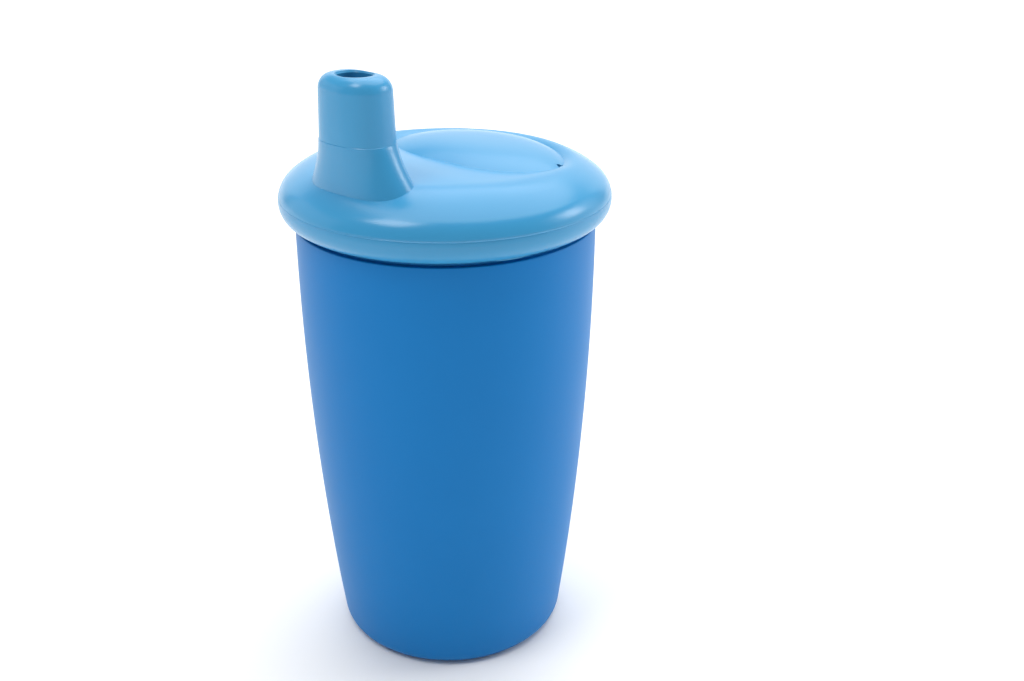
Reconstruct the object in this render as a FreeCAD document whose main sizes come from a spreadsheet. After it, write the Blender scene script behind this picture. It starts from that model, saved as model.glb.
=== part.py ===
import FreeCAD, Part
import Sketcher
import math
import os
import re
from FreeCAD import Placement, Rotation, Vector

# Sippy cup: a tumbler with a screw lid that carries a drinking spout.
# The origin is the centre of the base on the surface that the cup stands on. +Z is up and the
# spout is on the -X side, so the XZ plane halves the spout, its valve and the raised pad. Lengths
# are in millimetres.

SIZES = [
    # tumbler
    ("base_radius", 28.9, "outer wall carried down to the surface"),
    ("base_corner", 3.5, "rounding between wall and base"),
    ("foot_width", 2.6, "width of the ring that it stands on, outside the recess"),
    ("foot_recess", 1.2, "how far the middle of the base is above the surface"),
    ("shoulder_radius", 36.3, "outer wall just under the lid"),
    ("wall_bow", 1.9, "how far the wall stands out from a straight taper"),
    ("cup_wall", 2.2, "thickness of wall and floor"),
    ("floor_corner", 3.0, "rounding inside, between wall and floor"),
    ("ledge_height", 110.6, "top of the shoulder"),
    ("neck_radius", 35.2, "root of the outer thread"),
    ("mouth_radius", 33.6, "inside of the neck"),
    ("lip_height", 118.5, "top of the tumbler"),
    ("lip_round", 0.6, "rounding of the lip"),
    # screw thread
    ("thread_lead", 12.0, "rise in one turn"),
    ("thread_depth", 0.9, "height of a ridge from its root"),
    ("ridge_root", 2.0, "width of a ridge at its root"),
    ("ridge_crest", 1.1, "width of a ridge at its crest"),
    ("outer_start", 114.3, "lowest point of an outer ridge's middle"),
    ("outer_rise", 2.6, "rise of an outer ridge"),
    ("inner_rise", 2.2, "rise of a lid ridge"),
    ("thread_bury", 0.3, "how deep a ridge is set into its wall"),
    # lid
    ("lid_radius", 40.0, "widest radius, at the rim's equator"),
    ("rim_height", 116.5, "height of the rim's equator"),
    ("rim_rise", 9.5, "lid top above the equator"),
    ("rim_flank", 6.5, "outer radius of the rim's upper side"),
    ("rim_under", 6.0, "radius of the rim's underside"),
    ("crown_radius", 25.0, "edge of the flat top"),
    ("bore_radius", 36.5, "root of the inner thread"),
    ("lid_wall", 2.0, "thickness of the top"),
    ("land_height", 120.5, "face that presses on the seal"),
    ("seal_lip_outer", 32.3, "outer radius of the ring inside the seal"),
    ("seal_lip_inner", 30.8, "inner radius of that ring"),
    ("seal_lip_height", 119.0, "lower end of that ring"),
    ("seal_clearance", 0.3, "gap between the seal and the bore"),
    ("cut_past", 1.0, "how far a cut runs past the face that it opens"),
    # raised D-shaped pad on the rear of the lid
    ("pad_radius", 28.6, "rear edge, about the cup's axis"),
    ("pad_front", 2.5, "front edge, towards the spout"),
    ("pad_corner", 12.0, "rounding of its two ends at the bottom"),
    ("pad_top_corner", 3.5, "rounding of its two ends at the top"),
    ("pad_rise", 1.4, "height above the top"),
    ("pad_slope", 11.0, "width of the slope all round it"),
    # spout
    ("spout_offset", 27.6, "distance of the spout from the cup's axis"),
    ("spout_height", 149.4, "top of the spout"),
    ("spout_tip_across", 8.7, "half width at the top"),
    ("spout_tip_radial", 6.2, "half depth at the top"),
    ("spout_seam_height", 134.8, "where the skirt of the spout begins"),
    ("spout_seam_across", 9.5, "half width there"),
    ("spout_seam_radial", 6.7, "half depth there"),
    ("spout_root_height", 121.5, "where the skirt ends, inside the rim"),
    ("spout_root_across", 14.4, "half width there"),
    ("spout_root_radial", 8.2, "half depth there"),
    ("spout_corner", 5.5, "corner rounding of its section"),
    ("spout_round", 3.4, "rounding of its top edge"),
    ("hole_across", 4.3, "half width of the drinking hole"),
    ("hole_radial", 3.5, "half depth of the drinking hole"),
    ("hole_corner", 3.2, "corner rounding of the drinking hole"),
    ("channel_across", 6.4, "half width of the channel at the lid top"),
    ("channel_radial", 4.2, "half depth of the channel at the lid top"),
    ("channel_corner", 3.9, "corner rounding of the channel"),
    ("channel_offset", 25.0, "distance of the channel's lower end from the axis"),
    ("channel_lean", 0.8, "how much nearer to the axis the channel is than the spout, at its seam"),
    # drinking valve under the spout
    ("socket_offset", 22.6, "distance of the valve socket from the axis"),
    ("socket_bore", 6.4, "bore of the socket"),
    ("socket_wall", 1.4, "wall of the socket"),
    ("socket_height", 116.5, "lower end of the socket"),
    ("push_clearance", 0.1, "radial clearance of parts pushed on by hand"),
    ("plug_height", 122.5, "upper end of the holder's plug"),
    ("plug_bore", 4.9, "bore of the holder's plug"),
    ("holder_radius", 8.4, "outer radius of the holder's cage"),
    ("cage_radius", 7.2, "bore of the holder's cage"),
    ("cage_top", 114.6, "roof of the cage, where the membrane seats"),
    ("cage_height", 110.4, "lower end of the cage"),
    ("bead_depth", 1.3, "thickness of the membrane's bead"),
    ("membrane_radius", 5.0, "free radius of the membrane"),
    ("membrane_sag", 1.5, "how far the membrane bulges down"),
    ("membrane_wall", 0.7, "thickness of the membrane"),
    ("slit_length", 5.0, "length of each slit"),
    ("slit_width", 0.2, "gap of each slit"),
    ("ring_depth", 2.0, "height of the retaining ring"),
    # air vent at the pad's end
    ("vent_radius", 27.6, "distance of the vent from the axis"),
    ("vent_angle", 59.0, "angle of the vent from the rear, on the -Y side"),
    ("vent_hole", 0.8, "radius of the air hole"),
    ("boss_radius", 2.0, "outer radius of the boss under the hole"),
    ("boss_height", 119.2, "lower end of the boss"),
    ("cap_wall", 0.8, "wall of the silicone cap on the boss"),
    ("cap_height", 117.6, "lower end of the cap"),
    ("cap_top", 122.6, "upper end of the cap"),
]

# starts of the thread
STARTS = 3
# how far in along the pad's slope each of its sections lies, as a share
PAD_STEPS = (0.0, 0.3, 0.65, 1.0)
# tolerances for telling points and edges apart
TINY = 1e-6
SMALL = 0.01

doc = FreeCAD.newDocument("SippyCup")
sheet = doc.addObject("Spreadsheet::Sheet", "Sizes")
for row, (alias, value, meaning) in enumerate(SIZES, start=1):
    sheet.set(f"A{row}", str(value))
    sheet.setAlias(f"A{row}", alias)
    sheet.set(f"B{row}", meaning)
doc.recompute()


def formula(text):
    """The text with the sheet's name before each of its aliases, which all hold an underscore."""
    return re.sub(r"\b([a-z]+(?:_[a-z]+)+)\b", r"Sizes.\1", str(text))


def number(text):
    """What a formula comes to now."""
    return float(sheet.evalExpression(formula(text)))


def new_body(label):
    body = doc.addObject("PartDesign::Body", label)
    body.Label = label
    return body


def new_sketch(body, name, role, offset=None):
    """An empty sketch on one of the body's own planes, moved along the plane's normal."""
    sketch = body.newObject("Sketcher::SketchObject", name)
    plane = next(item for item in body.Origin.OriginFeatures if item.Role == role)
    sketch.AttachmentSupport = [(plane, "")]
    sketch.MapMode = "FlatFace"
    if offset is not None:
        across, along, up = offset
        shift = Vector(number(across), number(along), number(up))
        sketch.AttachmentOffset = Placement(shift, Rotation())
        sketch.setExpression("AttachmentOffset.Base.x", formula(across))
        sketch.setExpression("AttachmentOffset.Base.y", formula(along))
        sketch.setExpression("AttachmentOffset.Base.z", formula(up))
    return sketch


def pin(sketch, edge, end, across, up):
    """Holds one end of an edge at a place given by two formulas."""
    for kind, text, axis in (("DistanceX", across, -2), ("DistanceY", up, -1)):
        if abs(number(text)) < TINY:
            sketch.addConstraint(Sketcher.Constraint("PointOnObject", edge, end, axis))
            continue
        row = sketch.addConstraint(Sketcher.Constraint(kind, -1, 1, edge, end, number(text)))
        sketch.setExpression(f"Constraints[{row}]", formula(text))


def arc_middle(start, end, radius, bend):
    """The middle of the short arc that bends left (1) or right (-1) on its way."""
    chord = end - start
    half = chord.Length / 2
    sagitta = radius - math.sqrt(max(radius**2 - half**2, 0))
    side = Vector(chord.y, -chord.x, 0).normalize() * bend
    return (start + end) / 2 + side * sagitta


def outline(sketch, steps):
    """A closed outline. A step is a point (across, up), reached straight, or (across, up, radius,
    bend), reached by an arc that bends "left" or "right" on its way there."""
    spots = [Vector(number(step[0]), number(step[1]), 0) for step in steps]
    ends = []
    for index, step in enumerate(steps):
        start, end = spots[index - 1], spots[index]
        if len(step) == 2:
            edge = sketch.addGeometry(Part.LineSegment(start, end), False)
            ends.append((edge, 1, 2))
            continue
        bend = 1 if step[3] == "left" else -1
        middle = arc_middle(start, end, number(step[2]), bend)
        edge = sketch.addGeometry(Part.Arc(start, middle, end), False)
        turned = sketch.getPoint(edge, 1).distanceToPoint(start) > TINY
        ends.append((edge, 2, 1) if turned else (edge, 1, 2))
        row = sketch.addConstraint(Sketcher.Constraint("Radius", edge, number(step[2])))
        sketch.setExpression(f"Constraints[{row}]", formula(step[2]))
    for index, step in enumerate(steps):
        edge, _, tail = ends[index]
        following, head, _ = ends[(index + 1) % len(steps)]
        sketch.addConstraint(Sketcher.Constraint("Coincident", edge, tail, following, head))
        pin(sketch, edge, tail, step[0], step[1])
    return sketch


def bowed(run, rise, bow):
    """The radius of an arc over a straight run and rise, standing out by bow."""
    return f"((({run})^2 + ({rise})^2) / (8 * ({bow})) + ({bow}) / 2)"


def turned_solid(body, name, steps, kind="PartDesign::Revolution", offset=None):
    """A solid, or with Groove a hollow, turned about the sketch's upright axis."""
    sketch = new_sketch(body, name + "_outline", "XZ_Plane", offset)
    outline(sketch, steps)
    doc.recompute()
    feature = body.newObject(kind, name)
    feature.Profile = sketch
    feature.ReferenceAxis = (sketch, ["V_Axis"])
    feature.Angle = 360
    doc.recompute()
    return feature


def disc(body, name, centre, radius, bottom, top, cut=False):
    """A round pad, or pocket, between two heights."""
    along, across = centre
    sketch = new_sketch(body, name + "_outline", "XY_Plane", (along, across, bottom))
    edge = sketch.addGeometry(Part.Circle(Vector(0, 0, 0), Vector(0, 0, 1), number(radius)), False)
    sketch.addConstraint(Sketcher.Constraint("Coincident", edge, 3, -1, 1))
    row = sketch.addConstraint(Sketcher.Constraint("Radius", edge, number(radius)))
    sketch.setExpression(f"Constraints[{row}]", formula(radius))
    doc.recompute()
    feature = body.newObject("PartDesign::Pocket" if cut else "PartDesign::Pad", name)
    feature.Profile = sketch
    feature.setExpression("Length", formula(f"({top}) - ({bottom})"))
    feature.Reversed = cut
    doc.recompute()
    return feature


def round_edges(body, name, radius, chosen):
    """Rounds every edge of the body's tip that the test picks."""
    tip = body.Tip
    names = [f"Edge{index}" for index, edge in enumerate(tip.Shape.Edges, start=1) if chosen(edge)]
    feature = body.newObject("PartDesign::Fillet", name)
    feature.Base = (tip, names)
    feature.setExpression("Radius", formula(radius))
    doc.recompute()
    return feature


def ring_edge(radius, height):
    """A test for the full circle of that radius, about the upright axis, at that height."""
    def chosen(edge):
        circle = edge.Curve
        if not isinstance(circle, Part.Circle):
            return False
        near = abs(circle.Radius - number(radius)) < TINY
        return near and abs(circle.Center.z - number(height)) < TINY
    return chosen


def thread(body, name, root, way, start, rise):
    """Ridges of a right-handed thread, one for each start, way 1 outwards or -1 inwards."""
    crest = f"{root} + {way} * thread_depth"
    foot = f"{root} - {way} * thread_bury"
    steps = [
        (foot, f"{start} - ridge_root / 2"),
        (crest, f"{start} - ridge_crest / 2"),
        (crest, f"{start} + ridge_crest / 2"),
        (foot, f"{start} + ridge_root / 2"),
    ]
    sketch = new_sketch(body, name + "_outline", "XZ_Plane")
    outline(sketch, steps)
    doc.recompute()
    ridge = body.newObject("PartDesign::AdditiveHelix", name)
    ridge.Profile = sketch
    ridge.ReferenceAxis = (sketch, ["V_Axis"])
    ridge.Mode = "pitch-height-angle"
    ridge.setExpression("Pitch", formula("thread_lead"))
    ridge.setExpression("Height", formula(rise))
    ridge.Angle = 0
    ridge.LeftHanded = False
    ridge.Reversed = False
    doc.recompute()
    copies = body.newObject("PartDesign::PolarPattern", name + "_starts")
    copies.Originals = [ridge]
    copies.Axis = (sketch, ["V_Axis"])
    copies.Angle = 360
    copies.Occurrences = STARTS
    body.Tip = copies
    doc.recompute()
    return copies


def make_tumbler():
    body = new_body("tumbler")
    wall_radius = bowed("shoulder_radius - base_radius", "ledge_height", "wall_bow")
    inner_foot = "base_radius - cup_wall"
    floor = "foot_recess + cup_wall"
    inner_rise = f"lip_height - {floor}"
    inner_radius = bowed(f"mouth_radius - {inner_foot}", inner_rise, "wall_bow")
    recess_edge = "base_radius - base_corner - foot_width - foot_recess"
    turned_solid(body, "tumbler_wall", [
        ("0", floor),
        ("0", "foot_recess"),
        (recess_edge, "foot_recess"),
        (f"{recess_edge} + foot_recess", "0"),
        ("base_radius", "0"),
        ("shoulder_radius", "ledge_height", wall_radius, "left"),
        ("neck_radius", "ledge_height"),
        ("neck_radius", "lip_height"),
        ("mouth_radius", "lip_height"),
        (inner_foot, floor, inner_radius, "right"),
    ])
    round_edges(body, "base_rounding", "base_corner", ring_edge("base_radius", "0"))
    round_edges(body, "floor_rounding", "floor_corner", ring_edge(inner_foot, floor))
    round_edges(body, "lip_inside", "lip_round", ring_edge("mouth_radius", "lip_height"))
    round_edges(body, "lip_outside", "lip_round", ring_edge("neck_radius", "lip_height"))
    thread(body, "outer_thread", "neck_radius", 1, "outer_start", "outer_rise")
    return body


def pad_sections(body, name, drop):
    """D-shaped sections of the raised pad, from its edge inwards and upwards, lowered by drop."""
    sections = []
    for index, share in enumerate(PAD_STEPS):
        inset = f"pad_slope * {share}"
        height = f"rim_height + rim_rise + pad_rise * (1 - (1 - {share})^2) - {drop}"
        radius = f"(pad_radius - {inset})"
        front = f"(pad_front - {inset})"
        corner = f"(pad_corner + (pad_top_corner - pad_corner) * {share})"
        # the corner's centre is that far behind the front edge and touches the rear arc inside
        middle = f"sqrt(({radius} - {corner})^2 - ({corner} - {front})^2)"
        reach = f"({radius} / ({radius} - {corner}))"
        behind = f"(({corner} - {front}) * {reach})"
        beside = f"({middle} * {reach})"
        sketch = new_sketch(body, f"{name}_{index}", "XY_Plane", ("0", "0", height))
        outline(sketch, [
            (f"-{front}", f"-{middle}"),
            (behind, f"-{beside}", corner, "left"),
            (behind, beside, radius, "left"),
            (f"-{front}", middle, corner, "left"),
        ])
        sections.append(sketch)
    return sections


def loft(body, name, sections, kind):
    doc.recompute()
    feature = body.newObject(kind, name)
    feature.Profile = sections[0]
    feature.Sections = sections[1:]
    feature.Ruled = False
    doc.recompute()
    return feature


def oval(body, name, offset, height, across, radial, corner):
    """A rounded rectangle about a point on the spout's side of the XZ plane."""
    sketch = new_sketch(body, name, "XY_Plane", (f"-({offset})", "0", height))
    flat_x = f"(({radial}) - ({corner}))"
    flat_y = f"(({across}) - ({corner}))"
    outline(sketch, [
        (f"-({radial})", f"-{flat_y}"),
        (f"-{flat_x}", f"-({across})", corner, "left"),
        (flat_x, f"-({across})"),
        (f"{radial}", f"-{flat_y}", corner, "left"),
        (f"{radial}", flat_y),
        (flat_x, f"{across}", corner, "left"),
        (f"-{flat_x}", f"{across}"),
        (f"-({radial})", flat_y, corner, "left"),
    ])
    return sketch


def make_lid():
    body = new_body("lid")
    top = "rim_height + rim_rise"
    ceiling = f"{top} - lid_wall"
    # the rim's upper side is a small arc from the equator and a large one that ends level
    run = "(lid_radius - rim_flank - crown_radius)"
    crown_arc = f"(({run}^2 + rim_rise^2 - rim_flank^2) / (2 * (rim_rise - rim_flank)))"
    lean = f"({crown_arc} - rim_flank)"
    join_across = f"lid_radius - rim_flank + rim_flank * {run} / {lean}"
    join_up = f"rim_height + rim_flank * ({crown_arc} - rim_rise) / {lean}"
    skirt = "rim_height - sqrt(rim_under^2 - (bore_radius - lid_radius + rim_under)^2)"
    turned_solid(body, "lid_block", [
        ("0", skirt),
        ("bore_radius", skirt),
        ("lid_radius", "rim_height", "rim_under", "left"),
        (join_across, join_up, "rim_flank", "left"),
        ("crown_radius", top, crown_arc, "left"),
        ("0", top),
    ])
    loft(body, "raised_pad", pad_sections(body, "pad_section", "0"), "PartDesign::AdditiveLoft")

    spout = [
        oval(body, "spout_root", "spout_offset", "spout_root_height",
             "spout_root_across", "spout_root_radial", "spout_corner"),
        oval(body, "spout_seam", "spout_offset", "spout_seam_height",
             "spout_seam_across", "spout_seam_radial", "spout_corner"),
        oval(body, "spout_tip", "spout_offset", "spout_height",
             "spout_tip_across", "spout_tip_radial", "spout_corner"),
    ]
    loft(body, "spout", spout, "PartDesign::AdditiveLoft")
    tip_height = number("spout_height")
    round_edges(body, "spout_rounding", "spout_round",
                lambda edge: edge.BoundBox.ZMin > tip_height - SMALL)

    turned_solid(body, "lid_hollow", [
        ("0", f"{skirt} - cut_past"),
        ("bore_radius", f"{skirt} - cut_past"),
        ("bore_radius", "land_height"),
        ("seal_lip_outer", "land_height"),
        ("seal_lip_outer", "seal_lip_height"),
        ("seal_lip_inner", "seal_lip_height"),
        ("seal_lip_inner", ceiling),
        ("0", ceiling),
    ], "PartDesign::Groove")
    hollow = pad_sections(body, "pad_hollow_section", "lid_wall")
    loft(body, "pad_hollow", hollow, "PartDesign::SubtractiveLoft")

    socket = ("-socket_offset", "0")
    inside_top = f"{ceiling} + lid_wall / 2"
    disc(body, "valve_socket", socket, "socket_bore + socket_wall", "socket_height", inside_top)
    disc(body, "socket_bore", socket, "socket_bore", "socket_height", ceiling, cut=True)
    channel = [
        oval(body, "channel_foot", "channel_offset", f"{ceiling} - cut_past",
             "channel_across", "channel_radial", "channel_corner"),
        oval(body, "channel_middle", "spout_offset - channel_lean", "spout_seam_height",
             "channel_across", "channel_radial", "channel_corner"),
        oval(body, "channel_tip", "spout_offset", "spout_height + cut_past",
             "hole_across", "hole_radial", "hole_corner"),
    ]
    loft(body, "channel", channel, "PartDesign::SubtractiveLoft")

    vent = ("vent_radius * cos(vent_angle)", "-vent_radius * sin(vent_angle)")
    disc(body, "vent_boss", vent, "boss_radius", "boss_height", inside_top)
    disc(body, "vent_bore", vent, "vent_hole", "boss_height", f"{top} + pad_rise", cut=True)
    # the lid's ridges start halfway between two of the tumbler's
    between = f"outer_start - thread_lead / {2 * STARTS}"
    thread(body, "inner_thread", "bore_radius", -1, between, "inner_rise")
    return body


def make_seal():
    body = new_body("lid_seal")
    inner = "seal_lip_outer + push_clearance"
    outer = "bore_radius - seal_clearance"
    turned_solid(body, "seal_ring", [
        (inner, "lip_height"),
        (outer, "lip_height"),
        (outer, "land_height"),
        (inner, "land_height"),
    ])
    return body


def make_valve_holder():
    body = new_body("valve_holder")
    turned_solid(body, "holder_block", [
        ("plug_bore", "cage_top"),
        ("cage_radius", "cage_top"),
        ("cage_radius", "cage_height"),
        ("holder_radius", "cage_height"),
        ("holder_radius", "socket_height"),
        ("socket_bore - push_clearance", "socket_height"),
        ("socket_bore - push_clearance", "plug_height"),
        ("plug_bore", "plug_height"),
    ], offset=("-socket_offset", "0", "0"))
    return body


def slit(body, name, centre, arms, bottom, top):
    """Cuts straight slits through a membrane, each given as its half length and half width."""
    along, across = centre
    for index, (half_x, half_y) in enumerate(arms):
        sketch = new_sketch(body, f"{name}_{index}_outline", "XY_Plane", (along, across, bottom))
        outline(sketch, [
            (f"-({half_x})", f"-({half_y})"),
            (half_x, f"-({half_y})"),
            (half_x, half_y),
            (f"-({half_x})", half_y),
        ])
        doc.recompute()
        pocket = body.newObject("PartDesign::Pocket", f"{name}_{index}")
        pocket.Profile = sketch
        pocket.setExpression("Length", formula(f"({top}) - ({bottom})"))
        pocket.Reversed = True
        doc.recompute()


def make_slit_valve():
    body = new_body("slit_valve")
    lower = "cage_top - bead_depth"
    lowest = f"{lower} - membrane_sag"
    edge = "cage_radius - push_clearance"
    bulge = bowed("2 * membrane_radius", "0", "membrane_sag")
    turned_solid(body, "membrane", [
        ("0", f"{lowest} + membrane_wall", bulge, "right"),
        ("0", lowest),
        ("membrane_radius", lower, bulge, "left"),
        (edge, lower),
        (edge, "cage_top"),
        ("membrane_radius", "cage_top"),
        ("membrane_radius", f"{lower} + membrane_wall"),
    ], offset=("-socket_offset", "0", "0"))
    arms = [("slit_length / 2", "slit_width / 2"), ("slit_width / 2", "slit_length / 2")]
    slit(body, "slit", ("-socket_offset", "0"), arms, lowest, "cage_top")
    return body


def make_retaining_ring():
    body = new_body("retaining_ring")
    upper = "cage_top - bead_depth"
    edge = "cage_radius - push_clearance"
    turned_solid(body, "ring", [
        ("membrane_radius", f"{upper} - ring_depth"),
        (edge, f"{upper} - ring_depth"),
        (edge, upper),
        ("membrane_radius", upper),
    ], offset=("-socket_offset", "0", "0"))
    return body


def make_vent_valve():
    body = new_body("vent_valve")
    along = "vent_radius * cos(vent_angle)"
    across = "-vent_radius * sin(vent_angle)"
    inner = "boss_radius + push_clearance"
    outer = f"{inner} + cap_wall"
    # the sketch's own plane is XZ, so its third offset runs towards -Y
    turned_solid(body, "cap", [
        ("0", "cap_height"),
        (outer, "cap_height"),
        (outer, "cap_top"),
        (inner, "cap_top"),
        (inner, "cap_height + cap_wall"),
        ("0", "cap_height + cap_wall"),
    ], offset=(along, "0", f"-({across})"))
    arms = [("slit_width / 2", "boss_radius / 2")]
    slit(body, "slit", (along, across), arms, "cap_height", "boss_height")
    return body


MAKERS = [
    make_tumbler,
    make_lid,
    make_seal,
    make_valve_holder,
    make_slit_valve,
    make_retaining_ring,
    make_vent_valve,
]
for maker in MAKERS:
    maker()
doc.recompute()

failed = [item.Label for item in doc.Objects if "Invalid" in item.State or "Error" in item.State]
if failed:
    raise SystemExit(f"failed objects: {failed}")
bodies = [item for item in doc.Objects if item.TypeId == "PartDesign::Body"]
for body in bodies:
    if body.Shape.isNull() or not body.Shape.isValid():
        raise SystemExit(f"bad shape: {body.Label}")
os.makedirs("parts", exist_ok=True)
for body in bodies:
    body.Shape.exportStep(f"parts/{body.Label}.step")
    print(body.Label, round(body.Shape.Volume), "mm3", len(body.Shape.Solids), "solid")
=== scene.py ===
import math

import bmesh
import bpy
from mathutils import Matrix, Vector
from mathutils.geometry import delaunay_2d_cdt


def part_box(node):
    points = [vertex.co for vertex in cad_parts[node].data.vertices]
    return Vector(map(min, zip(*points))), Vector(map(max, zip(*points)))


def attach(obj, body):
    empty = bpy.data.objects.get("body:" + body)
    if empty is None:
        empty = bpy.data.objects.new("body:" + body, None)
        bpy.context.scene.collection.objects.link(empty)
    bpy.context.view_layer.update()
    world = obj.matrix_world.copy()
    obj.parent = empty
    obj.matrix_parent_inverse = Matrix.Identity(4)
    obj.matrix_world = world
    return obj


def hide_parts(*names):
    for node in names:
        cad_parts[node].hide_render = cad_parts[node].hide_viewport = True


# A sippy cup: a satin tumbler, and a glossier screw lid with a spout, its seal and its two valves.
# Heights and radii of whole pieces are read from the CAD boxes. Details are given in millimetres.

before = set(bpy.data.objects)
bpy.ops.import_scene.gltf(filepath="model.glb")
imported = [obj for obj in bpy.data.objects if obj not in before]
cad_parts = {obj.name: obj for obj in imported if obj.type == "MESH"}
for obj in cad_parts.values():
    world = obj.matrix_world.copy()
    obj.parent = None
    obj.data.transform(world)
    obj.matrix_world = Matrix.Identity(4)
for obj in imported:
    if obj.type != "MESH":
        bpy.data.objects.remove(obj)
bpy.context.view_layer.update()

MM = 0.001
TURN = 2 * math.pi
RIGHT_ANGLE = math.pi / 2
ORIGIN = Vector((0, 0, 0))

# points round a full circle, for each kind of piece
ROUND = 192
VALVE_ROUND = 96
SOCKET_ROUND = 72
CAP_ROUND = 64
BOSS_ROUND = 48
GATE_ROUND = 32
HOLE_ROUND = 24
SEAL_ROUND = 128

# points nearer than this are joined, in a plan and in a finished mesh
PLAN_WELD = 0.001 * MM
WELD = 0.002 * MM


# ---- places read from the frame ----

def top_of(node):
    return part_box(node)[1].z


def bottom_of(node):
    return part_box(node)[0].z


def half_width(node):
    low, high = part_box(node)
    return (high.x - low.x) / 2


def middle_of(node):
    low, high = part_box(node)
    return Vector(((low.x + high.x) / 2, (low.y + high.y) / 2, 0))


# how far the visible surfaces keep inside the CAD box
SKIN = 0.02 * MM

LID_RADIUS = half_width("lid") - SKIN
SPOUT_TOP = top_of("lid") - SKIN
LIP = top_of("tumbler")

# the rim's equator, where the lid is widest, and the level top inside it
EQUATOR = LIP - 2.0 * MM
CROWN = EQUATOR + 9.5 * MM
CROWN_EDGE = 25.0 * MM
RIM_FLANK = 6.5 * MM
RIM_UNDER = 5.2 * MM
BORE = 36.5 * MM
WALL = 2.0 * MM
CEILING = CROWN - WALL
LAND = top_of("lid_seal")

# the lid's lip inside the seal, and the seal's own bore
SEAL_LIP_INNER = 30.8 * MM
SEAL_LIP_OUTER = 32.3 * MM
SEAL_BORE = 32.4 * MM

SOCKET_BORE = 6.4 * MM
SOCKET_OUTER = SOCKET_BORE + 1.4 * MM
SOCKET = middle_of("valve_holder")
VENT = middle_of("vent_valve")


# ---- mesh building ----

def ring(radius, height, centre=ORIGIN, count=ROUND):
    """Points round an upright axis."""
    turns = [TURN * k / count for k in range(count)]
    return [centre + Vector((radius * math.cos(turn), radius * math.sin(turn), height)) for turn in turns]


def skin(bm, rows):
    """Quads between successive closed rows of points."""
    made = [[bm.verts.new(point) for point in row] for row in rows]
    count = len(rows[0])
    for lower, upper in zip(made, made[1:]):
        for k in range(count):
            following = (k + 1) % count
            bm.faces.new((lower[k], lower[following], upper[following], upper[k]))
    return made


def cap(bm, row, centre):
    """A fan that closes a row of points at its centre."""
    middle = bm.verts.new(centre)
    verts = [bm.verts.new(point) for point in row]
    for k, vert in enumerate(verts):
        bm.faces.new((vert, verts[(k + 1) % len(verts)], middle))


def turned(bm, profile, centre=ORIGIN, count=ROUND):
    """A profile of (radius, height) turned about an upright axis. It may start or end on the axis."""
    inner = [point for point in profile if point[0] > 0]
    rows = [ring(radius, height, centre, count) for radius, height in inner]
    skin(bm, rows)
    for end, row in ((profile[0], rows[0]), (profile[-1], rows[-1])):
        if end[0] == 0:
            cap(bm, row, centre + Vector((0, 0, end[1])))


def rounded(corners, steps=6):
    """A line through corners (across, up, rounding), each replaced by an arc of that radius."""
    line = []
    for index, (across, up, radius) in enumerate(corners):
        here = Vector((across, up))
        if radius == 0 or index in (0, len(corners) - 1):
            line.append((across, up))
            continue
        back = (Vector(corners[index - 1][:2]) - here).normalized()
        ahead = (Vector(corners[index + 1][:2]) - here).normalized()
        half = back.angle(ahead) / 2
        centre = here + (back + ahead).normalized() * radius / math.sin(half)
        start = here + back * radius / math.tan(half) - centre
        sweep = start.angle_signed(here + ahead * radius / math.tan(half) - centre)
        for k in range(steps + 1):
            spoke = Matrix.Rotation(-sweep * k / steps, 2) @ start
            line.append(tuple(centre + spoke))
    return line


def closed_loop(corners, steps=6):
    """A closed outline with every corner rounded, whose first point is repeated at its end."""
    wrapped = [corners[-1], *corners, corners[0]]
    line = rounded(wrapped, steps)[1:-1]
    return [*line, line[0]]


def finish_mesh(bm, name, sharp=math.radians(40)):
    """Welds the patches, points every face outwards and makes the object."""
    bmesh.ops.remove_doubles(bm, verts=bm.verts, dist=WELD)
    bmesh.ops.recalc_face_normals(bm, faces=bm.faces)
    mesh = bpy.data.meshes.new(name)
    bm.to_mesh(mesh)
    bm.free()
    mesh.shade_smooth()
    mesh.set_sharp_from_angle(angle=sharp)
    made = bpy.data.objects.new(name, mesh)
    bpy.context.scene.collection.objects.link(made)
    return made


# an added point of a patch is left out when an outline passes nearer than this share of the spacing
CROWDED = 0.55


def patch(bm, loops, height, spacing, guides=()):
    """A surface over the plan inside the first loop and outside the others, at height(x, y).
    It also has edges along the guides, which are closed lines."""
    flat, edges = [], []
    for loop in (*loops, *guides):
        first = len(flat)
        flat.extend(Vector((point[0], point[1])) for point in loop)
        edges.extend((first + k, first + (k + 1) % len(loop)) for k in range(len(loop)))
    low = [min(point[axis] for point in loops[0]) for axis in (0, 1)]
    high = [max(point[axis] for point in loops[0]) for axis in (0, 1)]
    row_step = spacing * math.sqrt(3) / 2
    buckets = {}
    for point in flat:
        key = (math.floor(point.x / spacing), math.floor(point.y / spacing))
        buckets.setdefault(key, []).append(point)

    def crowded(point):
        column, line = math.floor(point.x / spacing), math.floor(point.y / spacing)
        near = (
            other
            for i in (-1, 0, 1)
            for j in (-1, 0, 1)
            for other in buckets.get((column + i, line + j), ())
        )
        return any((other - point).length < CROWDED * spacing for other in near)

    for line in range(int((high[1] - low[1]) / row_step) + 1):
        start = low[0] + (line % 2) * spacing / 2
        for column in range(int((high[0] - low[0]) / spacing) + 1):
            point = Vector((start + column * spacing, low[1] + line * row_step))
            if inside(point, loops[0]) and not any(inside(point, loop) for loop in loops[1:]):
                if not crowded(point):
                    flat.append(point)
    points, _, faces, _, _, _ = delaunay_2d_cdt(flat, edges, [], 1, PLAN_WELD)
    verts = [bm.verts.new((point.x, point.y, height(point.x, point.y))) for point in points]
    for face in faces:
        middle = sum((points[k] for k in face), Vector((0, 0))) / len(face)
        if inside(middle, loops[0]) and not any(inside(middle, loop) for loop in loops[1:]):
            bm.faces.new([verts[k] for k in face])


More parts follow.
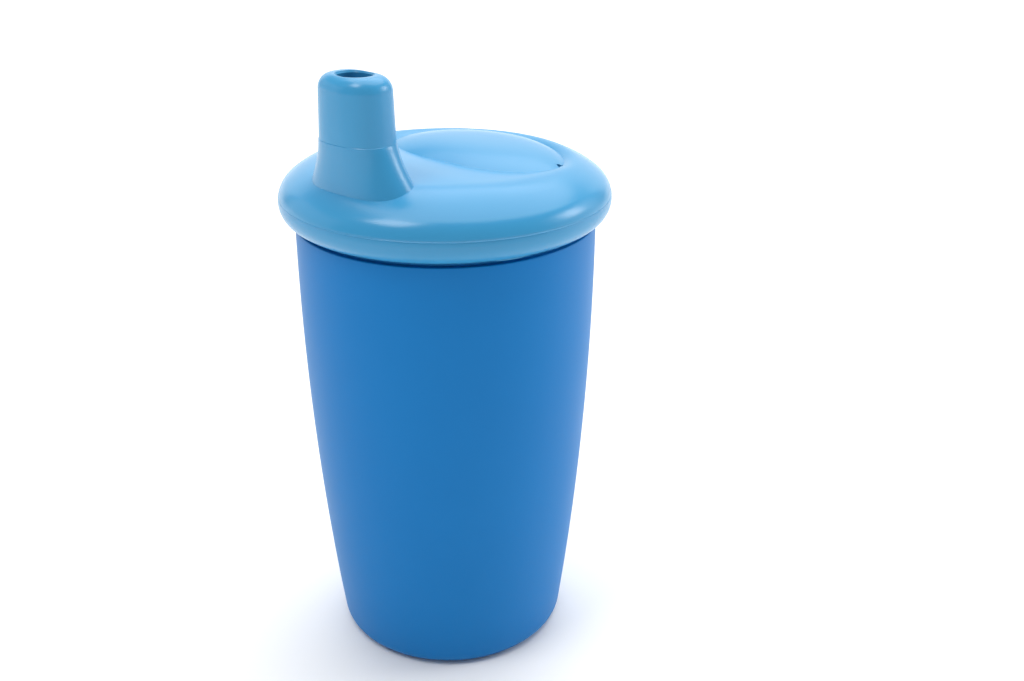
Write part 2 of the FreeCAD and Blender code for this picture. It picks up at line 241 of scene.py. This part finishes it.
def inside(point, loop):
    """Whether a point lies inside a closed line, by counting crossings."""
    found = False
    for k, here in enumerate(loop):
        last = loop[k - 1]
        if (here[1] > point[1]) != (last[1] > point[1]):
            share = (point[1] - here[1]) / (last[1] - here[1])
            if point[0] < here[0] + share * (last[0] - here[0]):
                found = not found
    return found


# ---- tumbler ----

BASE_RADIUS = 28.9 * MM
SHOULDER = 36.3 * MM
NECK = 35.2 * MM
MOUTH = 33.6 * MM
LEDGE = LIP - 7.9 * MM
CUP_WALL = 2.2 * MM
BOW = 1.9 * MM
WALL_STEPS = 40

THREAD_LEAD = 12.0 * MM
THREAD_STARTS = 3
OUTER_START = LIP - 4.2 * MM
OUTER_RISE = 2.6 * MM
INNER_START = LIP - 6.2 * MM
INNER_RISE = 2.2 * MM
RIDGE_STEPS = 72
# a ridge's section in millimetres: out from its wall, and up from its middle
RIDGE_SECTION = [(-0.2, -1.1), (0.55, -0.85), (0.9, -0.4), (0.9, 0.4), (0.55, 0.85), (-0.2, 1.1)]
# how far the ends of a ridge are sunk in the wall
RIDGE_SINK = 0.05 * MM


def bowed_wall(low, high):
    """Points between two ends of a wall that stands out from the straight taper in its middle."""
    line = []
    for k in range(1, WALL_STEPS):
        share = k / WALL_STEPS
        out = 4 * BOW * share * (1 - share)
        line.append((low[0] + (high[0] - low[0]) * share + out, low[1] + (high[1] - low[1]) * share, 0))
    return line


def ridge(bm, root, way, start, rise, angle):
    """One ridge of a thread that grows out of its wall and dies back into it."""
    sweep = TURN * rise / THREAD_LEAD
    rows = []
    for k in range(RIDGE_STEPS + 1):
        share = k / RIDGE_STEPS
        swell = min(1, math.sin(math.pi * share) * 3) ** 0.5
        turn = angle + sweep * share
        row = []
        for out, up in RIDGE_SECTION:
            depth = out * MM if out < 0 else out * MM * swell - RIDGE_SINK * (1 - swell)
            radius = root + way * depth
            lift = start + rise * share + up * MM * (0.5 + 0.5 * swell)
            row.append(Vector((radius * math.cos(turn), radius * math.sin(turn), lift)))
        rows.append(row)
    made = skin(bm, rows)
    bm.faces.new(reversed(made[0]))
    bm.faces.new(made[-1])


def make_tumbler():
    # the ring that it stands on, and the recess inside it
    foot = BASE_RADIUS - 6.1 * MM
    recess = 1.2 * MM
    floor = recess + CUP_WALL
    inner = BASE_RADIUS - CUP_WALL
    outer_wall = bowed_wall((BASE_RADIUS, 0), (SHOULDER, LEDGE))
    inner_wall = bowed_wall((inner, floor), (MOUTH, LIP))
    # the first few points of each wall give way to the rounding of the corner below them
    given_way = 3
    corners = [
        (0, recess, 0),
        (foot - recess, recess, 0.8 * MM),
        (foot, 0, 0.5 * MM),
        (BASE_RADIUS, 0, 3.5 * MM),
        *outer_wall[given_way:],
        (SHOULDER, LEDGE, 0.35 * MM),
        (NECK, LEDGE, 0.3 * MM),
        (NECK, LIP, 0.6 * MM),
        (MOUTH, LIP, 0.6 * MM),
        *reversed(inner_wall[given_way:]),
        (inner, floor, 3.0 * MM),
        (0, floor, 0),
    ]
    bm = bmesh.new()
    turned(bm, rounded(corners, 8))
    for k in range(THREAD_STARTS):
        ridge(bm, NECK, 1, OUTER_START, OUTER_RISE, TURN * k / THREAD_STARTS)
    # the little raised dot that the mould's gate leaves under the base
    gate = [(0, recess - 0.35 * MM), (0.9 * MM, recess - 0.3 * MM), (1.3 * MM, recess + 0.1 * MM)]
    turned(bm, gate, count=GATE_ROUND)
    return finish_mesh(bm, "tumbler_shell")


# ---- lid ----

# the raised pad stands in a dip of the lid's top, narrow behind it and wide in front
PAD_RADIUS = 28.6 * MM
PAD_FRONT = 1.4 * MM
PAD_BLEND = 24.0 * MM
PAD_RISE = 2.8 * MM
PAD_SLOPE = 11.0 * MM
DIP = 1.3 * MM
DIP_BEHIND = 3.2 * MM
DIP_FRONT = 15.0 * MM
# the dip's width changes over this length across the cup's middle
DIP_CHANGE = 24.0 * MM
# a point that is well inside the pad, and a distance that is well outside it
PAD_MIDDLE = Vector((12 * MM, 0))
PAD_BEYOND = 60 * MM
HALVINGS = 40
# the inside of the top eases over this length from level to the pad's shape
EASE = 3.0 * MM


def pad_distance(x, y):
    """How far a point is inside the pad's outline, negative outside it."""
    rear = math.hypot(x, y) - PAD_RADIUS
    front = -PAD_FRONT - x
    blend = max(PAD_BLEND - abs(rear - front), 0)
    return -(max(rear, front) + blend ** 2 / (4 * PAD_BLEND))


def crown_height(radius):
    """The lid's round surface without the pad: level, then a large arc, then the rim's small one."""
    run = LID_RADIUS - RIM_FLANK - CROWN_EDGE
    rise = CROWN - EQUATOR
    large = (run ** 2 + rise ** 2 - RIM_FLANK ** 2) / (2 * (rise - RIM_FLANK))
    if radius <= CROWN_EDGE:
        return CROWN
    join = CROWN_EDGE + run * large / (large - RIM_FLANK)
    if radius <= join:
        return CROWN - large + math.sqrt(large ** 2 - (radius - CROWN_EDGE) ** 2)
    out = min(radius - (LID_RADIUS - RIM_FLANK), RIM_FLANK)
    return EQUATOR + math.sqrt(RIM_FLANK ** 2 - out ** 2)


def relief(x, y):
    """The pad's height above the crown, and the dip round it below."""
    depth = pad_distance(x, y)
    if depth > 0:
        return PAD_RISE * (1 - (1 - min(depth / PAD_SLOPE, 1)) ** 2) - DIP
    behind = smooth(x / DIP_CHANGE + 0.5)
    width = DIP_FRONT + (DIP_BEHIND - DIP_FRONT) * behind
    return -DIP * (1 - min(-depth / width, 1)) ** 2


def smooth(share):
    """A share held between 0 and 1 that eases in and out."""
    held = min(max(share, 0), 1)
    return held * held * (3 - 2 * held)


def lid_height(x, y):
    """The lid's upper surface without the spout."""
    return crown_height(math.hypot(x, y)) + relief(x, y)


def ceiling_height(x, y):
    """The lid's inner surface, which follows the pad and is level at the seal's lip and the socket."""
    at_edge = smooth((SEAL_LIP_INNER - math.hypot(x, y)) / EASE)
    at_socket = smooth((math.hypot(x - SOCKET.x, y) - SOCKET_OUTER) / EASE)
    return CEILING + relief(x, y) * at_edge * at_socket


def pad_outline(depth, count=160):
    """The closed line that lies that far inside the pad's outline."""
    line = []
    for k in range(count):
        heading = Vector((math.cos(TURN * k / count), math.sin(TURN * k / count)))
        low, high = 0.0, PAD_BEYOND
        for _ in range(HALVINGS):
            reach = (low + high) / 2
            spot = PAD_MIDDLE + heading * reach
            if pad_distance(spot.x, spot.y) > depth:
                low = reach
            else:
                high = reach
        line.append(PAD_MIDDLE + heading * low)
    return line


# the spout's sections are ovals. Each has a half depth, towards the axis, and a half width.
SPOUT_X = -27.6 * MM
SPOUT_SQUARE = 2.3
FOOT_SHIFT = 0.7 * MM
FOOT_DEEP = 7.1 * MM
FOOT_WIDE = 14.2 * MM
SEAM = EQUATOR + 18.3 * MM
SEAM_STEP = 0.12 * MM
SEAM_DEEP = 6.8 * MM
SEAM_WIDE = 9.7 * MM
TIP_DEEP = 6.5 * MM
TIP_WIDE = 9.1 * MM
TIP_ROUND = 3.4 * MM
SKIRT_HOLLOW = 0.35 * MM
HOLE_DEEP = 3.5 * MM
HOLE_WIDE = 4.3 * MM
LIP_ROUND = 0.5 * MM
# the drinking channel leans towards the valve's socket on its way down
CHANNEL_LEAN = 0.8 * MM
CHANNEL_DEEP = 4.2 * MM
CHANNEL_WIDE = 6.4 * MM
CHANNEL_END_LEAN = 3.0 * MM
CHANNEL_END_DEEP = 3.7 * MM
CHANNEL_END_WIDE = 5.7 * MM


def oval(centre_x, radial, across, height, count=96):
    """A section of the spout: an oval with squarish sides. height is a number or height(x, y)."""
    row = []
    for k in range(count):
        turn = TURN * k / count
        bulge = abs(math.cos(turn) / radial) ** SPOUT_SQUARE + abs(math.sin(turn) / across) ** SPOUT_SQUARE
        reach = bulge ** (-1 / SPOUT_SQUARE)
        x = centre_x + reach * math.cos(turn)
        y = reach * math.sin(turn)
        row.append(Vector((x, y, height(x, y) if callable(height) else height)))
    return row


def between(first, second, share):
    return [a.lerp(b, share) for a, b in zip(first, second)]


# the top patch ends at this radius, where the turned rim takes over
PATCH_EDGE = 33.0 * MM
RIM_STEPS = 40
UNDER_STEPS = 24
# the mould's parting line round the rim, a bead that is pressed in on both sides
PARTING = EQUATOR + 1.0 * MM
PARTING_CLEAR = 0.3 * MM
PARTING_DEPTH = 0.07 * MM
PARTING_OUTER = 0.16 * MM
PARTING_INNER = 0.08 * MM

SKIRT_STEPS = 16
BODY_STEPS = 24
ROUND_STEPS = 10


def spout_foot():
    return oval(SPOUT_X + FOOT_SHIFT, FOOT_DEEP, FOOT_WIDE, lid_height)


def channel_foot(height):
    return oval(SPOUT_X + CHANNEL_END_LEAN, CHANNEL_END_DEEP, CHANNEL_END_WIDE, height)


def spout_rows():
    """The spout's skin from its foot on the lid, over its tip and down its channel."""
    foot = spout_foot()
    below_seam = oval(SPOUT_X, SEAM_DEEP, SEAM_WIDE, SEAM)
    above_seam = oval(SPOUT_X, SEAM_DEEP - SEAM_STEP, SEAM_WIDE - SEAM_STEP, SEAM + SEAM_STEP)
    tip = oval(SPOUT_X, TIP_DEEP, TIP_WIDE, SPOUT_TOP - TIP_ROUND)
    hole = oval(SPOUT_X, HOLE_DEEP, HOLE_WIDE, SPOUT_TOP)
    rows = [foot]
    for k in range(1, SKIRT_STEPS):
        share = k / SKIRT_STEPS
        # the skirt flares towards the lid in a slightly hollow line
        flare = between(foot, below_seam, share)
        hollow = -SKIRT_HOLLOW * math.sin(math.pi * share)
        outwards = [Vector((point.x - SPOUT_X, point.y, 0)).normalized() for point in flare]
        rows.append([point + way * hollow for point, way in zip(flare, outwards)])
    rows.append(below_seam)
    for k in range(BODY_STEPS):
        rows.append(between(above_seam, tip, k / BODY_STEPS))
    rows.extend(tip_rows(tip, hole))
    return rows


def tip_rows(tip, hole):
    """The rounded top of the spout, from its wall to the drinking hole and into it."""
    rows = []
    for k in range(2 * ROUND_STEPS + 1):
        share = 1 - math.cos(RIGHT_ANGLE * k / (2 * ROUND_STEPS))
        row = []
        for outer, inner in zip(tip, hole):
            flat_gap = (Vector(outer[:2]) - Vector(inner[:2])).length
            near_outer = min(share * flat_gap, TIP_ROUND)
            near_inner = max(LIP_ROUND - (1 - share) * flat_gap, 0)
            drop = TIP_ROUND - math.sqrt(TIP_ROUND ** 2 - (TIP_ROUND - near_outer) ** 2)
            fall = LIP_ROUND - math.sqrt(max(LIP_ROUND ** 2 - near_inner ** 2, 0))
            spot = outer.lerp(inner, share)
            row.append(Vector((spot.x, spot.y, SPOUT_TOP - drop - fall)))
        rows.append(row)
    return rows


def channel_rows():
    """The drinking channel from the hole down to the valve's socket."""
    upper = oval(SPOUT_X, HOLE_DEEP, HOLE_WIDE, SPOUT_TOP - LIP_ROUND)
    middle = oval(SPOUT_X + CHANNEL_LEAN, CHANNEL_DEEP, CHANNEL_WIDE, SEAM)
    lower = channel_foot(CEILING)
    rows = [upper]
    rows.extend(between(upper, middle, k / BODY_STEPS) for k in range(1, BODY_STEPS))
    rows.extend(between(middle, lower, k / ROUND_STEPS) for k in range(ROUND_STEPS + 1))
    return rows


def rim_profile():
    """The rim from where the top patch ends, round the equator and up inside the skirt."""
    line = []
    for k in range(1, RIM_STEPS):
        reach = math.sin(RIGHT_ANGLE * k / RIM_STEPS)
        radius = PATCH_EDGE + (LID_RADIUS - PATCH_EDGE) * reach
        if crown_height(radius) > PARTING + PARTING_CLEAR:
            line.append((radius, crown_height(radius)))
    flank = LID_RADIUS - RIM_FLANK + math.sqrt(RIM_FLANK ** 2 - (PARTING - EQUATOR) ** 2)
    line.extend([
        (flank - PARTING_DEPTH, PARTING + PARTING_OUTER),
        (flank + PARTING_DEPTH / 2, PARTING + PARTING_INNER),
        (flank + PARTING_DEPTH / 2, PARTING - PARTING_INNER),
        (flank - PARTING_DEPTH, PARTING - PARTING_OUTER),
    ])
    centre = LID_RADIUS - RIM_UNDER
    last = math.acos((BORE + 0.5 * MM - centre) / RIM_UNDER)
    for k in range(UNDER_STEPS + 1):
        angle = -last * k / UNDER_STEPS
        line.append((centre + RIM_UNDER * math.cos(angle), EQUATOR + RIM_UNDER * math.sin(angle)))
    seal_lip_end = LIP + 0.5 * MM
    inner = [
        (*line[-1], 0),
        (BORE, line[-1][1] - 0.35 * MM, 0.4 * MM),
        (BORE, LAND, 0.3 * MM),
        (SEAL_LIP_OUTER, LAND, 0.3 * MM),
        (SEAL_LIP_OUTER, seal_lip_end, 0.4 * MM),
        (SEAL_LIP_INNER, seal_lip_end, 0.4 * MM),
        (SEAL_LIP_INNER, CEILING, 0),
    ]
    line.extend(rounded(inner)[1:])
    return line


def raised(row, height):
    """A level row of points lifted to height(x, y)."""
    return [spot + Vector((0, 0, height(spot.x, spot.y))) for spot in row]


def make_lid():
    bm = bmesh.new()
    vent_hole = 0.8 * MM
    boss = 2.0 * MM
    boss_soft = 0.4 * MM
    fine, coarse = 0.8 * MM, 1.2 * MM
    # edges that follow the pad's crease on both sides keep it crisp
    pad_edges = [pad_outline(depth) for depth in (-0.25 * MM, 0.0, 0.25 * MM)]
    vent_rim = raised(ring(vent_hole, 0, VENT, HOLE_ROUND), lid_height)
    loops = [ring(PATCH_EDGE, 0), spout_foot(), vent_rim]
    patch(bm, loops, lid_height, fine, pad_edges)
    edge = [(PATCH_EDGE, crown_height(PATCH_EDGE)), *rim_profile()]
    turned(bm, edge)

    skin(bm, spout_rows())
    skin(bm, channel_rows())

    # the inside of the top, with the valve's socket and the vent's boss hanging from it
    socket_low = EQUATOR
    boss_low = LIP + 0.7 * MM
    boss_top = raised(ring(boss, 0, VENT, BOSS_ROUND), ceiling_height)
    inner_edge = ring(SEAL_LIP_INNER, CEILING)
    socket_edge = ring(SOCKET_OUTER, 0, SOCKET, SOCKET_ROUND)
    patch(bm, [inner_edge, socket_edge, boss_top], ceiling_height, coarse)
    roof = [ring(SOCKET_BORE, 0, SOCKET, SOCKET_ROUND), channel_foot(CEILING)]
    patch(bm, roof, lambda x, y: CEILING, coarse)
    socket = [
        (SOCKET_OUTER, CEILING, 0),
        (SOCKET_OUTER, socket_low, 0.4 * MM),
        (SOCKET_BORE, socket_low, 0.4 * MM),
        (SOCKET_BORE, CEILING, 0),
    ]
    turned(bm, rounded(socket), SOCKET, SOCKET_ROUND)
    boss_side = ring(boss, boss_low + boss_soft, VENT, BOSS_ROUND)
    boss_end = ring(boss - boss_soft, boss_low, VENT, BOSS_ROUND)
    skin(bm, [boss_top, boss_side, boss_end])
    skin(bm, [boss_end, ring(vent_hole, boss_low, VENT, BOSS_ROUND)])
    skin(bm, [ring(vent_hole, boss_low, VENT, HOLE_ROUND), vent_rim])
    for k in range(THREAD_STARTS):
        ridge(bm, BORE, -1, INNER_START, INNER_RISE, TURN * k / THREAD_STARTS)
    return finish_mesh(bm, "lid_shell", math.radians(28))


# ---- parts inside the lid ----

# the free film of the drinking valve, and the bore of the ring that holds it
FILM_RADIUS = 5.0 * MM


def make_ring(name, node, centre, inner, rounding):
    """A turned ring of a node's own height, with rounded edges."""
    low, high = bottom_of(node), top_of(node)
    outer = half_width(node)
    corners = [
        (inner, low, rounding),
        (outer, low, rounding),
        (outer, high, rounding),
        (inner, high, rounding),
    ]
    bm = bmesh.new()
    turned(bm, closed_loop(corners), centre, SEAL_ROUND)
    return finish_mesh(bm, name)


def make_holder():
    low, high = bottom_of("valve_holder"), top_of("valve_holder")
    outer = half_width("valve_holder")
    soft = 0.4 * MM
    # a plug that fills the socket, above a wider cage whose roof the membrane seats on
    plug, plug_bore = SOCKET_BORE - 0.1 * MM, 4.9 * MM
    cage_bore = 7.2 * MM
    step = EQUATOR
    roof = top_of("slit_valve")
    corners = [
        (plug_bore, roof, soft),
        (cage_bore, roof, 0.2 * MM),
        (cage_bore, low, soft),
        (outer, low, soft),
        (outer, step, soft),
        (plug, step, 0.3 * MM),
        (plug, high, soft),
        (plug_bore, high, soft),
    ]
    bm = bmesh.new()
    turned(bm, closed_loop(corners), SOCKET, VALVE_ROUND)
    return finish_mesh(bm, "valve_holder_shell")


def make_membrane():
    """The silicone valve: a bead, and a film that bulges down and is slit crosswise."""
    low, high = bottom_of("slit_valve"), top_of("slit_valve")
    outer = half_width("slit_valve")
    film = FILM_RADIUS
    bead = high - 1.3 * MM
    sag = bead - low
    thick = 0.7 * MM
    bm = bmesh.new()
    steps = 14
    under, over = [], []
    for k in range(steps + 1):
        share = k / steps
        radius = film * share
        dip = sag * (1 - share ** 2)
        under.append((radius, bead - dip))
        over.append((radius, bead + thick - dip))
    profile = [
        *under,
        *rounded([(film, bead, 0), (outer, bead, 0.2 * MM), (outer, high, 0.3 * MM), (film, high, 0)])[1:],
        *reversed(over),
    ]
    turned(bm, profile, SOCKET, VALVE_ROUND)
    made = finish_mesh(bm, "slit_valve_shell")
    # half the length and half the gap of each slit
    length, width = 2.5 * MM, 0.1 * MM
    cutter = bmesh.new()
    for half in ((length, width), (width, length)):
        scale = Matrix.Diagonal((2 * half[0], 2 * half[1], high - low, 1))
        place = Matrix.Translation(SOCKET + Vector((0, 0, (low + high) / 2)))
        bmesh.ops.create_cube(cutter, size=1, matrix=place @ scale)
    return cut(made, cutter)


def make_vent_cap():
    low, high = bottom_of("vent_valve"), top_of("vent_valve")
    outer = half_width("vent_valve")
    wall = 0.8 * MM
    inner = outer - wall
    soft = 0.3 * MM
    corners = [
        (0, low + wall, 0),
        (inner, low + wall, 0.2 * MM),
        (inner, high, soft),
        (outer, high, soft),
        (outer, low, 0.5 * MM),
        (0, low, 0),
    ]
    bm = bmesh.new()
    turned(bm, rounded(corners), VENT, CAP_ROUND)
    made = finish_mesh(bm, "vent_valve_shell")
    cutter = bmesh.new()
    # one slit through the end of the cap
    scale = Matrix.Diagonal((0.2 * MM, 2.5 * MM, 3 * MM, 1))
    place = Matrix.Translation(VENT + Vector((0, 0, low)))
    bmesh.ops.create_cube(cutter, size=1, matrix=place @ scale)
    return cut(made, cutter)


def cut(made, cutter):
    """Cuts the cutter's volume out of a piece."""
    mesh = bpy.data.meshes.new("cutter")
    cutter.to_mesh(mesh)
    cutter.free()
    tool = bpy.data.objects.new("cutter", mesh)
    bpy.context.scene.collection.objects.link(tool)
    modifier = made.modifiers.new("cut", "BOOLEAN")
    modifier.operation = "DIFFERENCE"
    modifier.object = tool
    modifier.solver = "EXACT"
    modifier.use_self = True
    graph = bpy.context.evaluated_depsgraph_get()
    result = bpy.data.meshes.new_from_object(made.evaluated_get(graph))
    made.modifiers.clear()
    made.data = result
    bpy.data.objects.remove(tool)
    return made


# ---- materials ----

def new_material(name):
    made = bpy.data.materials.new(name)
    made.use_nodes = True
    nodes = made.node_tree.nodes
    shader = nodes["Principled BSDF"]
    return made, nodes, made.node_tree.links, shader


def noise(nodes, links, scale, detail=3.0):
    """Noise over the piece's own coordinates, in cycles per metre."""
    place = nodes.new("ShaderNodeTexCoord")
    texture = nodes.new("ShaderNodeTexNoise")
    texture.inputs["Scale"].default_value = scale
    texture.inputs["Detail"].default_value = detail
    links.new(place.outputs["Object"], texture.inputs["Vector"])
    return texture.outputs["Fac"]


def ramp(nodes, links, source, low, high):
    """Maps the middle of a noise to a range of numbers."""
    made = nodes.new("ShaderNodeMapRange")
    made.inputs["From Min"].default_value = 0.3
    made.inputs["From Max"].default_value = 0.7
    made.inputs["To Min"].default_value = low
    made.inputs["To Max"].default_value = high
    links.new(source, made.inputs["Value"])
    return made.outputs["Result"]


def blend_colours(nodes, links, share, first, second):
    made = nodes.new("ShaderNodeMix")
    made.data_type = "RGBA"
    made.inputs["A"].default_value = (*first, 1)
    made.inputs["B"].default_value = (*second, 1)
    links.new(share, made.inputs["Factor"])
    return made.outputs["Result"]


def worn_band(nodes, links, low, high, patches):
    """Worn patches that fade in between two heights, where hands and lips rub the piece."""
    place = nodes.new("ShaderNodeTexCoord")
    split = nodes.new("ShaderNodeSeparateXYZ")
    links.new(place.outputs["Object"], split.inputs["Vector"])
    fade = nodes.new("ShaderNodeMapRange")
    fade.interpolation_type = "SMOOTHSTEP"
    fade.inputs["From Min"].default_value = low
    fade.inputs["From Max"].default_value = high
    links.new(split.outputs["Z"], fade.inputs["Value"])
    made = nodes.new("ShaderNodeMath")
    made.operation = "MULTIPLY"
    links.new(fade.outputs["Result"], made.inputs[0])
    links.new(ramp(nodes, links, patches, 0.0, 0.35), made.inputs[1])
    return made.outputs["Value"]


def bumps(nodes, links, shader, layers):
    """Adds fine relief in layers of (source, height in metres)."""
    normal = None
    for source, height in layers:
        made = nodes.new("ShaderNodeBump")
        made.inputs["Strength"].default_value = 1.0
        made.inputs["Distance"].default_value = height
        links.new(source, made.inputs["Height"])
        if normal is not None:
            links.new(normal, made.inputs["Normal"])
        normal = made.outputs["Normal"]
    links.new(normal, shader.inputs["Normal"])


def plastic(name, colour, pale, rough, grain, worn_from, worn_to, gloss=0.5):
    """Moulded plastic: faint clouding of the colour, a grain of that height, and paler where it is
    rubbed, which fades in from one height to the other."""
    made, nodes, links, shader = new_material(name)
    clouds = noise(nodes, links, 40, 2)
    fine = noise(nodes, links, 2600, 2)
    scuffs = noise(nodes, links, 420, 5)
    tint = blend_colours(nodes, links, ramp(nodes, links, clouds, 0.0, 0.3), colour, pale)
    worn = nodes.new("ShaderNodeMix")
    worn.data_type = "RGBA"
    worn.inputs["B"].default_value = (*pale, 1)
    links.new(worn_band(nodes, links, worn_from, worn_to, scuffs), worn.inputs["Factor"])
    links.new(tint, worn.inputs["A"])
    links.new(worn.outputs["Result"], shader.inputs["Base Color"])
    links.new(ramp(nodes, links, clouds, rough - 0.02, rough + 0.02), shader.inputs["Roughness"])
    shader.inputs["IOR"].default_value = 1.49
    shader.inputs["Specular IOR Level"].default_value = gloss
    bumps(nodes, links, shader, [(fine, grain), (clouds, 0.01 * MM)])
    return made


def silicone(name, colour, pale):
    """Milky, slightly clear rubber with a soft sheen and a little dust."""
    made, nodes, links, shader = new_material(name)
    clouds = noise(nodes, links, 150, 3)
    fine = noise(nodes, links, 3200, 2)
    tint = blend_colours(nodes, links, ramp(nodes, links, clouds, 0.0, 1.0), colour, pale)
    links.new(tint, shader.inputs["Base Color"])
    links.new(ramp(nodes, links, fine, 0.42, 0.56), shader.inputs["Roughness"])
    shader.inputs["IOR"].default_value = 1.41
    shader.inputs["Subsurface Weight"].default_value = 0.35
    shader.inputs["Subsurface Radius"].default_value = (1.0, 1.0, 1.0)
    shader.inputs["Subsurface Scale"].default_value = 1.0 * MM
    bumps(nodes, links, shader, [(fine, 0.006 * MM)])
    return made


def floor_material():
    made, nodes, links, shader = new_material("studio_floor")
    clouds = noise(nodes, links, 3, 2)
    tint = blend_colours(nodes, links, clouds, (0.86, 0.86, 0.86), (0.9, 0.9, 0.9))
    links.new(tint, shader.inputs["Base Color"])
    shader.inputs["Roughness"].default_value = 0.7
    return made


def give(piece, body, node, material):
    """Puts a piece on its body in place of its node, with its finish."""
    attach(piece, body)
    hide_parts(node)
    piece.data.materials.clear()
    piece.data.materials.append(material)


def make_pieces():
    # the tumbler is rubbed at its foot, the lid at the tip of its spout
    tumbler_blue = plastic("tumbler_plastic", (0.0, 0.185, 0.52), (0.003, 0.205, 0.555), 0.45, 0.003 * MM,
                           4 * MM, 0, gloss=0.2)
    lid_blue = plastic("lid_plastic", (0.042, 0.30, 0.565), (0.05, 0.315, 0.58), 0.25, 0.0,
                       SPOUT_TOP - 6 * MM, SPOUT_TOP, gloss=0.45)
    holder_white = plastic("holder_plastic", (0.75, 0.76, 0.76), (0.85, 0.86, 0.86), 0.38, 0.004 * MM,
                           LIP - 6 * MM, LIP - 9 * MM)
    seal_white = silicone("seal_silicone", (0.70, 0.73, 0.74), (0.78, 0.80, 0.81))
    valve_clear = silicone("valve_silicone", (0.62, 0.68, 0.70), (0.72, 0.77, 0.78))
    give(make_tumbler(), "tumbler", "tumbler", tumbler_blue)
    give(make_lid(), "lid", "lid", lid_blue)
    seal = make_ring("lid_seal_shell", "lid_seal", ORIGIN, SEAL_BORE, 0.5 * MM)
    give(seal, "screw_link", "lid_seal", seal_white)
    give(make_holder(), "valve", "valve_holder", holder_white)
    give(make_membrane(), "valve", "slit_valve", valve_clear)
    keeper = make_ring("retaining_ring_shell", "retaining_ring", SOCKET, FILM_RADIUS, 0.4 * MM)
    give(keeper, "valve", "retaining_ring", holder_white)
    give(make_vent_cap(), "vent", "vent_valve", valve_clear)


# ---- studio ----

def make_floor():
    bm = bmesh.new()
    bmesh.ops.create_grid(bm, x_segments=8, y_segments=8, size=6.0)
    floor = finish_mesh(bm, "studio_floor")
    floor.data.materials.append(floor_material())


def aim(made, azimuth, elevation, distance):
    """Places a light in a direction from the cup, in degrees, and turns it towards the cup."""
    around, up = math.radians(azimuth), math.radians(elevation)
    heading = Vector((math.cos(around) * math.cos(up), math.sin(around) * math.cos(up), math.sin(up)))
    made.location = Vector((0, 0, EQUATOR * 0.7)) + heading * distance
    made.rotation_euler = (-heading).to_track_quat("-Z", "Y").to_euler()
    made.visible_camera = False
    bpy.context.scene.collection.objects.link(made)


def softbox(name, azimuth, elevation, distance, size, brightness):
    """A panel of even brightness, in which 1 shows as white."""
    light = bpy.data.lights.new(name, "AREA")
    light.shape = "RECTANGLE"
    light.size, light.size_y = size
    light.energy = brightness * math.pi * size[0] * size[1]
    aim(bpy.data.objects.new(name, light), azimuth, elevation, distance)


# panels of light: name, degrees from the camera's azimuth, elevation in degrees, distance and size
# in metres, and brightness
PANELS = [
    ("backdrop", 180, 16, 1.3, (2.2, 0.9), 0.9),
    ("left_wall", -105, 14, 1.1, (1.0, 0.8), 0.7),
    ("right_wall", 100, 14, 1.1, (1.0, 0.8), 0.8),
    ("left_key", -57, 61, 1.0, (0.36, 0.36), 8),
    ("right_key", 97, 24, 1.0, (0.3, 0.3), 7),
]


def make_light():
    world = bpy.data.worlds.new("studio")
    world.use_nodes = True
    background = world.node_tree.nodes["Background"]
    background.inputs["Color"].default_value = (0.96, 0.98, 1.0, 1)
    background.inputs["Strength"].default_value = 0.3
    bpy.context.scene.world = world
    overhead = bpy.data.lights.new("overhead", "SUN")
    overhead.energy = 2.7
    overhead.angle = math.radians(70)
    aim(bpy.data.objects.new("overhead", overhead), CAMERA_AZIMUTH + 160, 68, 1.5)
    for name, azimuth, elevation, distance, size, brightness in PANELS:
        softbox(name, CAMERA_AZIMUTH + azimuth, elevation, distance, size, brightness)
    bpy.context.scene.view_settings.view_transform = "Standard"


# The camera's place is in lid radii from the cup's axis and floor, and its angles are in degrees.
CAMERA_AZIMUTH = 224.0
CAMERA_OUT = 6.715
CAMERA_UP = 4.931
LOOK_DOWN = 21.04
LOOK_RIGHT = 3.21
ROLL = 0.17
LENS_MM = 40.62
SHIFT = (0.0040, -0.0595)


def make_camera():
    camera = bpy.data.cameras.new("camera")
    camera.lens = LENS_MM
    camera.shift_x, camera.shift_y = SHIFT
    camera.clip_start = 0.01
    made = bpy.data.objects.new("camera", camera)
    radius = half_width("lid")
    out = math.radians(CAMERA_AZIMUTH)
    made.location = (
        radius * CAMERA_OUT * math.cos(out),
        radius * CAMERA_OUT * math.sin(out),
        radius * CAMERA_UP,
    )
    heading = math.radians(CAMERA_AZIMUTH + 90 - LOOK_RIGHT)
    turn = Matrix.Rotation(heading, 3, "Z")
    tilt = Matrix.Rotation(math.radians(90 - LOOK_DOWN), 3, "X")
    roll = Matrix.Rotation(math.radians(ROLL), 3, "Z")
    made.rotation_euler = (turn @ tilt @ roll).to_euler()
    bpy.context.scene.collection.objects.link(made)
    bpy.context.scene.camera = made


make_pieces()
make_floor()
make_light()
make_camera()
